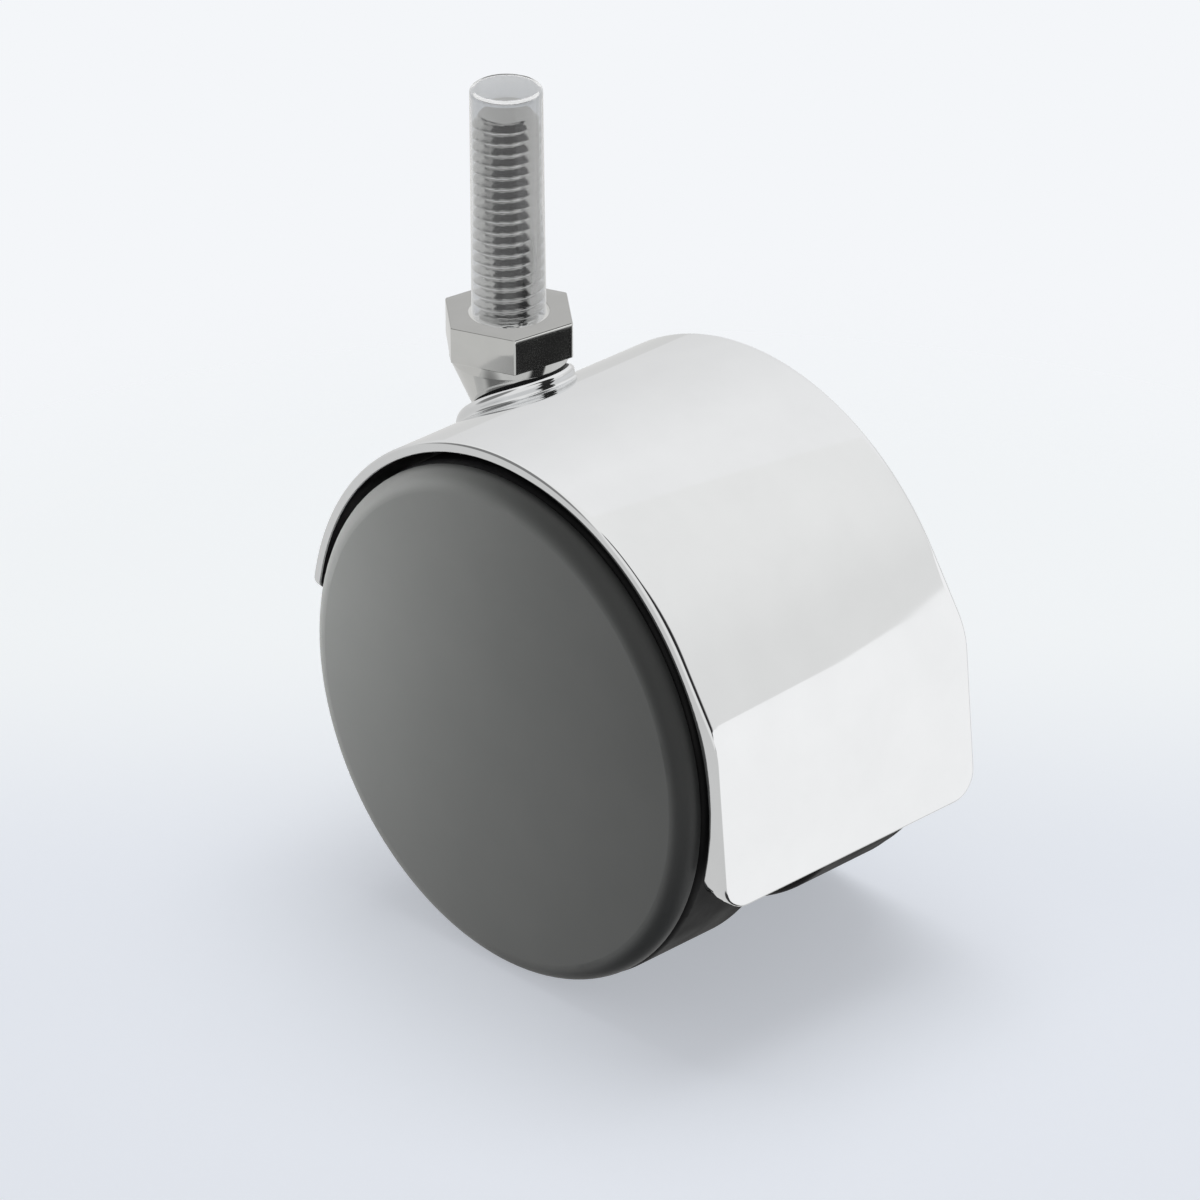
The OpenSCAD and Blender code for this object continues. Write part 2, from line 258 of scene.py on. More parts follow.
# Phosphated spring steel: dark grey, dull, slightly blotched
SPRING_STEEL = Finish(
    "spring_steel_phosphated", "4A4A4C", "37373A", roughness=(0.42, 0.6),
    patch_mm=1.6, grain_mm=0.25, relief_um=3.0, metallic=0.8,
)
# Grey ABS from a fine spark-eroded mould: satin, with a grain just below what the eye resolves
SATIN_ABS = Finish(
    "abs_satin_grey", "4F504F", "4A4B4A", roughness=(0.42, 0.5),
    patch_mm=14.0, grain_mm=0.3, relief_um=5.0, ior=1.53, specular=0.3,
)
# Charcoal nylon straight from the mould: darker and a little waxy
CHARCOAL_NYLON = Finish(
    "nylon_charcoal_moulded", "2A2A2B", "232324", roughness=(0.45, 0.58),
    patch_mm=8.0, grain_mm=0.4, relief_um=6.0, ior=1.53,
)
# Soft black tread: matt, with faint flow marks from moulding
SOFT_TREAD = Finish(
    "soft_tread_black", "0E0E0F", "151516", roughness=(0.55, 0.72),
    patch_mm=5.0, grain_mm=0.35, relief_um=8.0, ior=1.51, specular=0.25,
)
# Natural nylon bush: ivory and waxy
NATURAL_NYLON = Finish(
    "nylon_natural", "DED8C6", "D3CBB6", roughness=(0.38, 0.5),
    patch_mm=3.0, grain_mm=0.4, relief_um=4.0, ior=1.53,
)
# Clear low-density polythene cap, dipped or moulded: transparent, with soft waves in its skin
CLEAR_CAP = ClearPolythene(
    "polythene_clear", "DCDDDE", "D6D7D8", roughness=(0.03, 0.06),
    patch_mm=4.0, grain_mm=3.0, relief_um=4.0, ior=1.51,
)


# Meshes


def mesh_object(name: str, points: np.ndarray, faces: Sequence[Sequence[int]]) -> bpy.types.Object:
    """Makes a mesh object with outward normals from points in millimetres.

    Args:
        name: Name of the piece.
        points: Corner points, one row each.
        faces: Corner numbers of each face.

    Returns:
        The object, linked to the scene.
    """
    mesh = bpy.data.meshes.new(name)
    mesh.from_pydata((np.asarray(points, float) * MM).tolist(), [], [list(f) for f in faces])
    shape = bmesh.new()
    shape.from_mesh(mesh)
    bmesh.ops.recalc_face_normals(shape, faces=shape.faces)
    shape.to_mesh(mesh)
    shape.free()
    made = bpy.data.objects.new(name, mesh)
    bpy.context.scene.collection.objects.link(made)
    return made


def soften(piece: bpy.types.Object, crease_deg: float) -> None:
    """Shades a piece smooth, apart from edges sharper than an angle.

    Args:
        piece: Piece to shade.
        crease_deg: Angle between faces above which an edge stays sharp.
    """
    piece.data.shade_smooth()
    piece.data.set_sharp_from_angle(angle=math.radians(crease_deg))


def ring_faces(start: int, count: int, rings: int) -> list[tuple[int, int, int, int]]:
    """Numbers the faces between closed rings of points.

    Args:
        start: Number of the first ring's first point.
        count: Points in each ring.
        rings: How many rings follow each other.

    Returns:
        Corner numbers of the faces.
    """
    return [
        (start + k * count + i, start + k * count + (i + 1) % count,
         start + (k + 1) * count + (i + 1) % count, start + (k + 1) * count + i)
        for k in range(rings - 1)
        for i in range(count)
    ]


def closed_skin(name: str, rows: Sequence[np.ndarray], first_z: float, last_z: float) -> bpy.types.Object:
    """Makes a closed piece from rings of points about the Z axis.

    Args:
        name: Name of the piece.
        rows: The rings from one end to the other, with as many points each.
        first_z: Height of the point on the axis that closes the first ring.
        last_z: Height of the point on the axis that closes the last ring.

    Returns:
        The object.
    """
    count = len(rows[0])
    ends = len(rows) * count
    last = ends - count
    points = np.vstack([*rows, [0, 0, first_z], [0, 0, last_z]])
    faces: list[Sequence[int]] = list(ring_faces(0, count, len(rows)))
    faces += [(ends, (i + 1) % count, i) for i in range(count)]
    faces += [(ends + 1, last + i, last + (i + 1) % count) for i in range(count)]
    return mesh_object(name, points, faces)


def turned(name: str, profile: Sequence[Pair], steps: int = ROUND_STEPS) -> bpy.types.Object:
    """Makes a closed turned piece about the Z axis.

    Args:
        name: Name of the piece.
        profile: Radius and height of each corner. The first and the last lie on the axis.
        steps: Points around the axis.

    Returns:
        The object.
    """
    turn = np.linspace(0, 2 * math.pi, steps, endpoint=False)
    across, deep = np.cos(turn), np.sin(turn)
    rows = [np.column_stack([r * across, r * deep, np.full(steps, z)]) for r, z in profile[1:-1]]
    return closed_skin(name, rows, profile[0][1], profile[-1][1])


def arc(centre: Pair, radius: float, start_deg: float, end_deg: float, steps: int) -> list[Pair]:
    """Gives the points of a round edge in a profile.

    Args:
        centre: Centre of the round.
        radius: Its radius.
        start_deg: Angle of its first point.
        end_deg: Angle of its last point.
        steps: Straight steps between them.

    Returns:
        The points, ends included.
    """
    angles = np.radians(np.linspace(start_deg, end_deg, steps + 1))
    return [(centre[0] + radius * math.cos(a), centre[1] + radius * math.sin(a)) for a in angles]


def combine(piece: bpy.types.Object, tool: bpy.types.Object, how: Join) -> None:
    """Adds a closed shape to a piece or cuts it out, and deletes the shape.

    Args:
        piece: Piece that is changed.
        tool: Shape that is added or cut out.
        how: Whether it is added or cut out.
    """
    change = piece.modifiers.new("join", "BOOLEAN")
    change.object = tool
    change.operation = how.value
    change.solver = "MANIFOLD"
    seen = piece.evaluated_get(bpy.context.evaluated_depsgraph_get())
    mesh = bpy.data.meshes.new_from_object(seen)
    piece.modifiers.clear()
    old = piece.data
    piece.data = mesh
    bpy.data.meshes.remove(old)
    bpy.data.objects.remove(tool)


class SurfaceNormals:
    """Remembers how clean shapes are shaded, so that a piece cut from them keeps the same reflections."""

    def __init__(self) -> None:
        """Starts with no shapes."""
        self.points: list[Vector] = []
        self.faces: list[list[int]] = []
        self.normals: list[list[Vector]] = []
        self.slots: list[int] = []

    def remember(self, piece: bpy.types.Object, slots: Sequence[int]) -> None:
        """Keeps a clean shape's faces, the normals at their corners and their material slots.

        Args:
            piece: The clean shape.
            slots: One slot for the whole shape, or one for each face.
        """
        first = len(self.points)
        mesh = piece.data
        self.points += [v.co.copy() for v in mesh.vertices]
        self.slots += list(slots) if len(slots) > 1 else list(slots) * len(mesh.polygons)
        for face in mesh.polygons:
            self.faces.append([first + v for v in face.vertices])
            self.normals.append([mesh.corner_normals[i].vector.copy() for i in face.loop_indices])

    def apply(self, piece: bpy.types.Object, reach_mm: float = 0.004, same_way: float = 0.9) -> None:
        """Shades a piece's corners from the clean shapes that they lie on.

        Args:
            piece: Piece that was made from the remembered shapes.
            reach_mm: How far a face may lie from the clean shape.
            same_way: Least cosine between a face's normal and the clean shape's.
        """
        tree = BVHTree.FromPolygons(self.points, self.faces)
        mesh = piece.data
        mesh.shade_smooth()
        corners: list[Vector] = []
        for face in mesh.polygons:
            near, normal, index, gap = tree.find_nearest(face.center)
            corners += [face.normal.copy() for _ in face.loop_indices]
            if near is None or gap > reach_mm * MM or abs(normal.dot(face.normal)) < same_way:
                continue
            face.material_index = self.slots[index]
            side = 1.0 if normal.dot(face.normal) > 0 else -1.0
            shape = [self.points[i] for i in self.faces[index]]
            for k, corner in enumerate(face.vertices):
                weights = poly_3d_calc(shape, mesh.vertices[corner].co)
                mixed = sum((n * w for n, w in zip(self.normals[index], weights)), Vector())
                corners[len(corners) - len(face.vertices) + k] = (mixed * side).normalized()
        mesh.normals_split_custom_set([tuple(n) for n in corners])


def dress(piece: bpy.types.Object, *materials: bpy.types.Material) -> None:
    """Gives a piece its materials, and leaves each face in its slot.

    Args:
        piece: Piece to dress.
        materials: Materials in the order of the slots.
    """
    kept = [face.material_index for face in piece.data.polygons]
    piece.data.materials.clear()
    for material in materials:
        piece.data.materials.append(material)
    piece.data.polygons.foreach_set("material_index", [min(k, len(materials) - 1) for k in kept])


# Hood


@dataclass
class Hood:
    """Die-cast hood over both wheels, with the sizes of its side outline counted from the axle."""

    # Side outline
    axle: Pair = (AXLE[0], AXLE[2])
    radius: float = 34.3
    wall: float = 1.25
    half_width: float = 20.3
    front_z: float = 4.9
    tail_z: float = -10.7
    tail_deg: float = 33.0
    lean_deg: float = 5.0
    skirt: float = 35.06
    knee: float = 10.0
    # Edges, lips and corners of the shell
    edge: float = 0.42
    inner_edge: float = 0.2
    lip: float = 1.6
    lip_rise: float = 0.05
    front_corner: float = 1.8
    tail_corner: float = 3.4
    # Web, swivel boss and the stem's hole
    web_half: float = 2.5
    web_foot: float = 0.2
    boss_low: float = -27.7
    boss_r: float = 5.6
    boss_edge: float = 0.5
    bush_r: float = 3.945
    washer_z: float = -17.15
    hole_r: float = 4.35
    taper_z: float = -12.8
    mouth_r: float = 7.395
    mouth_z: float = -5.8
    # Raised rim round the stem's hole
    pad_r: float = 7.0
    pad_x: float = 0.9
    pad_h: float = 1.5
    pad_edge: float = 0.9
    pad_foot: float = 0.5
    pad_skirt: float = 0.25
    pad_sink: float = 0.03
    pad_middle_r: float = 1.0
    # Axle boss and the axle's hole
    axle_boss_r: float = 7.5
    axle_boss_half: float = 5.3
    axle_boss_edge: float = 0.6
    axle_r: float = 3.195
    axle_hole_half: float = 6.0
    # How far shapes reach into each other, and how far cuts reach past the metal
    buried: float = 0.7
    overcut: float = 1.0
    # Fineness of the mesh, and the angles above which its edges stay sharp
    edge_rings: tuple[int, int] = (5, 4)
    pad_rings: tuple[int, int, int] = (6, 11, 9)
    corner_steps: int = 5
    round_steps: int = 4
    width_steps: int = 22
    web_steps: int = 160
    station_counts: tuple[int, int, int, int] = (74, 8, 16, 6)
    shell_crease: float = 50.0
    round_crease: float = 40.0
    flat_crease: float = 25.0
    shapes: SurfaceNormals = field(default_factory=SurfaceNormals)

    def lengths(self) -> tuple[float, float, float, float]:
        """Measures the side outline.

        Returns:
            Lengths of the round top, the straight tail, the bend and the skirt.
        """
        front = math.pi - math.asin(self.front_z / self.radius)
        tail, lean = math.radians(self.tail_deg), math.radians(self.lean_deg)
        bend = self.bend()
        low = bend[1] + self.knee * math.sin(lean)
        return (
            self.radius * (front - tail),
            bend[0] * math.sin(tail) - bend[1] * math.cos(tail),
            self.knee * (tail - lean),
            (low - self.tail_z) / math.cos(lean),
        )

    def bend(self) -> Pair:
        """Finds the centre of the round bend between the straight tail and the skirt.

        Returns:
            Its X and Z about the axle.
        """
        a, b = math.radians(self.tail_deg), math.radians(self.lean_deg)
        p, q = self.radius - self.knee, self.skirt - self.knee
        turn = math.sin(b - a)
        return ((p * math.sin(b) - q * math.sin(a)) / turn, (q * math.cos(a) - p * math.cos(b)) / turn)

    def outline(self, along: np.ndarray) -> tuple[np.ndarray, np.ndarray]:
        """Follows the hood's side outline from its front edge to the tail's bottom edge.

        Args:
            along: Distances from the front edge.

        Returns:
            The points and the outward normals, as X and Z about the axle.
        """
        top, tail, knee, _ = self.lengths()
        high, low = math.radians(self.tail_deg), math.radians(self.lean_deg)
        angle = np.clip(high + (top - along) / self.radius, high, None)
        angle = np.where(along > top + tail, high - (along - top - tail) / self.knee, angle)
        angle = np.clip(angle, low, None)
        normal = np.column_stack([np.cos(angle), np.sin(angle)])
        tangent = np.column_stack([np.sin(angle), -np.cos(angle)])
        bend = np.array(self.bend())
        straight = np.clip(along - top, 0, tail)
        fall = np.clip(along - top - tail - knee, 0, None)
        on_knee = bend + self.knee * normal + fall[:, None] * tangent
        on_top = self.radius * normal + straight[:, None] * tangent
        return np.where((along > top + tail)[:, None], on_knee, on_top), normal

    def lift(self, spots: np.ndarray, depth: np.ndarray, out: np.ndarray) -> np.ndarray:
        """Places spots of the flat pattern on the hood.

        Args:
            spots: Distance along the outline and across the hood, one row each.
            depth: How deep each lies under the outer face.
            out: How far each is pushed along the outline and across the hood, one row each.

        Returns:
            Points in the castor's frame.
        """
        point, normal = self.outline(spots[:, 0])
        tangent = np.column_stack([normal[:, 1], -normal[:, 0]])
        flat = point - depth[:, None] * normal + out[:, :1] * tangent
        x, z = self.axle[0] + flat[:, 0], self.axle[1] + flat[:, 1]
        return np.column_stack([x, spots[:, 1] + out[:, 1], z])

    def stations(self) -> np.ndarray:
        """Spreads the pattern's points along the outline, closest together in the bend.

        Returns:
            Their distances from the front edge, without the round corners.
        """
        top, tail, knee, skirt = self.lengths()
        on_top, on_tail, on_knee, on_skirt = self.station_counts
        marks = [
            np.linspace(self.front_corner, top, on_top),
            top + np.linspace(0, tail, on_tail)[1:],
            top + tail + np.linspace(0, knee, on_knee)[1:],
            top + tail + knee + np.linspace(0, skirt - self.tail_corner, on_skirt)[1:],
        ]
        return np.concatenate(marks)[1:-1]

    def sides(self, inset: float) -> tuple[Border, Border, Border, Border]:
        """Gives the four sides of the flat pattern, with round corners, moved in by an inset.

        Args:
            inset: Distance from the hood's real edge.

        Returns:
            Left and right sides along the outline and front and tail sides across it. Each entry is a
            spot and the direction out of the pattern there.
        """
        length = sum(self.lengths())
        half = self.half_width
        quarter = np.radians(np.linspace(45, 90, self.corner_steps))
        spread = np.linspace(-1, 1, self.width_steps + 2)[1:-1]

        def corner(centre_s: float, radius: float, way_s: float, way_y: float, turn: float) -> Border:
            """Places one spot of a round corner.

            Args:
                centre_s: Place of the corner's centre along the outline.
                radius: Radius of the corner.
                way_s: Way that the corner faces along the outline, 1 or -1.
                way_y: Way that it faces across the hood, 1 or -1.
                turn: Angle of the spot on the corner.

            Returns:
                A border of that one spot.
            """
            ds, dy = way_s * math.cos(turn), way_y * math.sin(turn)
            spot_y = way_y * (half - radius) + (radius - inset) * dy
            return [(centre_s + (radius - inset) * ds, spot_y, ds, dy)]

        def long_side(way: float) -> Border:
            """Makes a side along the outline.

            Args:
                way: Way that the side faces across the hood, 1 or -1.

            Returns:
                Its spots, from the front to the tail.
            """
            row: Border = []
            for turn in quarter:
                row += corner(self.front_corner, self.front_corner, -1, way, turn)
            row += [(s, way * (half - inset), 0.0, way) for s in self.stations()]
            for turn in quarter[::-1]:
                row += corner(length - self.tail_corner, self.tail_corner, 1, way, turn)
            return row

        def short_side(way: float, centre_s: float, radius: float, edge_s: float) -> Border:
            """Makes a side across the hood.

            Args:
                way: Way that the side faces along the outline, 1 or -1.
                centre_s: Place of its corners' centres along the outline.
                radius: Radius of its corners.
                edge_s: Place of the real edge along the outline.

            Returns:
                Its spots, from left to right.
            """
            row: Border = []
            for turn in math.pi / 2 - quarter:
                row += corner(centre_s, radius, way, -1, turn)
            row += [(edge_s - way * inset, y * (half - radius), way, 0.0) for y in spread]
            for turn in (math.pi / 2 - quarter)[::-1]:
                row += corner(centre_s, radius, way, 1, turn)
            return row

        front = short_side(-1, self.front_corner, self.front_corner, 0.0)
        tail = short_side(1, length - self.tail_corner, self.tail_corner, length)
        return long_side(-1), long_side(1), front, tail

    def pattern(self, inset: float) -> tuple[np.ndarray, np.ndarray]:
        """Fills the flat pattern with a grid that follows its round corners.

        Args:
            inset: Distance from the hood's real edge.

        Returns:
            The grid of spots, and the spots of its border with the direction out of the pattern.
        """
        left, right, front, tail = (np.array(side) for side in self.sides(inset))
        u = ((left[:, 0] - left[0, 0]) / (left[-1, 0] - left[0, 0]))[:, None, None]
        v = ((front[:, 1] - front[0, 1]) / (front[-1, 1] - front[0, 1]))[None, :, None]
        grid = (1 - v) * left[:, None, :2] + v * right[:, None, :2]
        grid = grid + (1 - u) * front[None, :, :2] + u * tail[None, :, :2]
        grid = grid - (1 - u) * ((1 - v) * left[0, :2] + v * right[0, :2])
        grid = grid - u * ((1 - v) * left[-1, :2] + v * right[-1, :2])
        border = np.vstack([left, tail[1:], right[-2::-1], front[-2:0:-1]])
        return grid, border

    def lip_depth(self, border: np.ndarray) -> np.ndarray:
        """Finds how deep the hood's edge reaches: along the tail's sides, to the wheels' round clearance.

        Args:
            border: Spots of the border with the direction out of the pattern.

        Returns:
            Depth under the outer face at each spot.
        """
        point, normal = self.outline(border[:, 0])
        along = np.einsum("ij,ij->i", point, normal)
        inside = self.radius - self.wall
        depth = along - np.sqrt(along**2 - np.einsum("ij,ij->i", point, point) + inside**2)
        side = np.clip(np.abs(border[:, 3]), 0, 1) ** 2
        return np.maximum(self.wall + side * (depth - self.wall), self.wall + self.lip_rise)

    def shell(self) -> bpy.types.Object:
        """Models the thin shell with rounded edges, and a lip along each side of the tail.

        Returns:
            The closed shell.
        """
        outer, border = self.pattern(self.edge)
        inner, hem = self.pattern(self.lip)
        rows, columns = outer.shape[:2]
        none = np.zeros((rows * columns, 2))
        reach = self.lip_depth(border)
        way = border[:, 2:]
        rings = []
        for turn in np.radians(np.linspace(0, 90, self.edge_rings[0] + 1)[1:]):
            depth = np.full(len(border), self.edge * (1 - math.cos(turn)))
            rings.append(self.lift(border[:, :2], depth, self.edge * math.sin(turn) * way))
        for turn in np.radians(np.linspace(0, 90, self.edge_rings[1])):
            depth = reach - self.inner_edge * (1 - math.sin(turn))
            out = self.edge - self.inner_edge * (1 - math.cos(turn))
            rings.append(self.lift(border[:, :2], depth, out * way))
        rings.append(self.lift(hem[:, :2], reach, np.zeros((len(hem), 2))))
        wall = np.full(rows * columns, self.wall)
        sheets = [
            self.lift(outer.reshape(-1, 2), wall * 0, none),
            self.lift(inner.reshape(-1, 2), wall, none),
        ]
        points = np.vstack(sheets + rings)
        faces: list[Sequence[int]] = []
        for base in (0, rows * columns):
            faces += [
                (base + i * columns + j, base + i * columns + j + 1,
                 base + (i + 1) * columns + j + 1, base + (i + 1) * columns + j)
                for i in range(rows - 1)
                for j in range(columns - 1)
            ]
        loop = (
            [i * columns for i in range(rows)]
            + [(rows - 1) * columns + j for j in range(1, columns)]
            + [i * columns + columns - 1 for i in range(rows - 2, -1, -1)]
            + list(range(columns - 2, 0, -1))
        )
        count = len(loop)
        first = 2 * rows * columns
        last = first + (len(rings) - 1) * count
        faces += ring_faces(first, count, len(rings))
        for i in range(count):
            k = (i + 1) % count
            faces.append((loop[i], loop[k], first + k, first + i))
            faces.append((last + i, last + k, rows * columns + loop[k], rows * columns + loop[i]))
        made = mesh_object("hood_casting", points, faces)
        soften(made, self.shell_crease)
        return made

    def web(self) -> bpy.types.Object:
        """Models the web between the wheels, from the shell down to the swivel boss and the axle boss.

        Returns:
            The closed web.
        """
        length = sum(self.lengths())
        low = self.boss_low - self.axle[1]
        foot = self.web_foot - self.axle_boss_r
        points, normals = self.outline(np.linspace(0, length, self.web_steps))
        rim = points - self.buried * normals
        rim = [p for p in rim if p[1] > (low if p[0] < 0 else foot)]
        path = [*rim, (0.0, foot), (-self.axle_boss_r, 0.0), (self.boss_r - self.axle[0], low)]
        shape = np.array([(self.axle[0] + x, 0.0, self.axle[1] + z) for x, z in path])
        count = len(shape)
        both = np.vstack([shape + (0, -self.web_half, 0), shape + (0, self.web_half, 0)])
        faces: list[Sequence[int]] = [list(range(count)), list(range(2 * count - 1, count - 1, -1))]
        faces += ring_faces(0, count, 2)
        return mesh_object("web", both, faces)

    def under(self, x: np.ndarray, depth: float) -> np.ndarray:
        """Gives the height of the round top, at a depth under its outer face."""
        return self.axle[1] + np.sqrt((self.radius - depth) ** 2 - (x - self.axle[0]) ** 2)

    def fitted(self, name: str, x: float, profile: Sequence[Pair]) -> bpy.types.Object:
        """Makes an upright turned shape whose rings lie on the round top.

        Args:
            name: Name of the shape.
            x: Place of its axis.
            profile: Radius and depth under the outer face of each ring, from its middle outwards.

        Returns:
            The closed shape, with one face at its lowest ring.
        """
        steps = ROUND_STEPS
        turn = np.linspace(0, 2 * math.pi, steps, endpoint=False)
        rows = []
        for r, depth in profile:
            across = x + r * np.cos(turn)
            rows.append(np.column_stack([across, r * np.sin(turn), self.under(across, depth)]))
        points = np.vstack([*rows, [x, 0, self.under(np.array([x]), profile[0][1])[0]]])
        faces: list[Sequence[int]] = list(ring_faces(0, steps, len(rows)))
        faces += [(len(points) - 1, i, (i + 1) % steps) for i in range(steps)]
        last = (len(rows) - 1) * steps
        faces.append(list(range(last, last + steps)))
        return mesh_object(name, points, faces)

    def build(self) -> bpy.types.Object:
        """Models the whole casting.

        Returns:
            The hood as one closed piece.
        """
        casting = self.shell()
        inside = self.inside_faces(len(casting.data.polygons))
        pad = self.fitted("pad", self.pad_x, self.pad_profile())
        soften(pad, self.round_crease)
        edge, steps = self.boss_edge, self.round_steps
        boss = turned("boss", [
            (0, self.boss_low), *arc((self.boss_r - edge, self.boss_low + edge), edge, -90, 0, steps),
            (self.boss_r, self.washer_z), (0, self.washer_z),
        ])
        soften(boss, self.round_crease)
        edge, half = self.axle_boss_edge, self.axle_boss_half
        cross = turned("axle_boss", [
            (0, -half), *arc((self.axle_boss_r - edge, edge - half), edge, -90, 0, steps),
            *arc((self.axle_boss_r - edge, half - edge), edge, 0, 90, steps), (0, half),
        ])
        end = self.axle_hole_half
        pin = turned("axle_hole", [(0, -end), (self.axle_r, -end), (self.axle_r, end), (0, end)])
        for shape in (cross, pin):
            shape.data.transform(self.on_axle())
            soften(shape, self.round_crease)
        web = self.web()
        soften(web, self.flat_crease)
        low = self.boss_low - self.overcut
        bore = turned("bore", [
            (0, low), (self.bush_r, low), (self.bush_r, self.washer_z), (self.hole_r, self.washer_z),
            (self.hole_r, self.taper_z), (self.mouth_r, self.mouth_z), (self.mouth_r, 0), (0, 0),
        ])
        soften(bore, self.flat_crease)
        self.shapes.remember(casting, inside)
        self.shapes.remember(pad, [0])
        # The web, the bosses and the bores also take slot 1, the dark inside with painted shade
        for shape in (boss, cross, pin, web, bore):
            self.shapes.remember(shape, [1])
        for shape in (web, boss, cross, pad):
            combine(casting, shape, Join.ADD)
        for shape in (bore, pin):
            combine(casting, shape, Join.CUT)
        self.shapes.apply(casting)
        return casting

    def pad_profile(self) -> list[Pair]:
        """Draws the raised rim round the stem's hole: flat top, rounded edge, upright wall and hollow foot.

        Returns:
            Radius and depth under the outer face of each ring.
        """
        flat_r = self.pad_r - self.pad_edge
        foot_r = self.pad_r + self.pad_foot
        skirt_r = foot_r + self.pad_skirt
        on_flat, on_edge, on_foot = self.pad_rings
        rings = [(r, -self.pad_h) for r in np.linspace(self.pad_middle_r, flat_r, on_flat)]
        for t in np.radians(np.linspace(0, 90, on_edge)[1:]):
            fall = self.pad_edge * (1 - math.cos(t))
            rings.append((flat_r + self.pad_edge * math.sin(t), fall - self.pad_h))
        for t in np.radians(np.linspace(90, 0, on_foot)):
            rings.append((foot_r - self.pad_foot * math.sin(t), -self.pad_foot * (1 - math.cos(t))))
        return [*rings, (skirt_r, self.pad_sink), (skirt_r, self.buried)]

    def inside_faces(self, count: int) -> list[int]:
        """Gives slot 1, the dark inside with painted shade, to the shell's inner sheet and its lips'
        undersides, and slot 0 to the rest.

        Args:
            count: How many faces the shell has.

        Returns:
            The slot of each face.
        """
        grid, border = self.pattern(self.edge)
        sheet = (grid.shape[0] - 1) * (grid.shape[1] - 1)
        bands = self.edge_rings[0] + self.edge_rings[1] - 1
        slots = [0] * sheet + [1] * sheet + [0] * (bands * len(border)) + [1] * len(border)
        slots += [0, 1] * len(border)
        assert len(slots) == count
        return slots

    def on_axle(self) -> Matrix:
        """Gives the move from the Z axis to the axle, in metres."""
        middle = Vector((self.axle[0], 0, self.axle[1])) * MM
        return Matrix.Translation(middle) @ Matrix.Rotation(-math.pi / 2, 4, "X")

    def dress(self, casting: bpy.types.Object) -> None:
        """Plates the casting, darkens its inside with painted shade, and puts it in place of its solid.

        Args:
            casting: The hood.
        """
        # Slot 1, the inside, is dark with painted shade for the shadow under the hood
        dress(casting, CHROME_PLATE.material(), CAST_ZINC_PAINTED_SHADE.material())
        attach(casting, Body.HOOD.value)
        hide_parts("hood")


# Stem and its cap


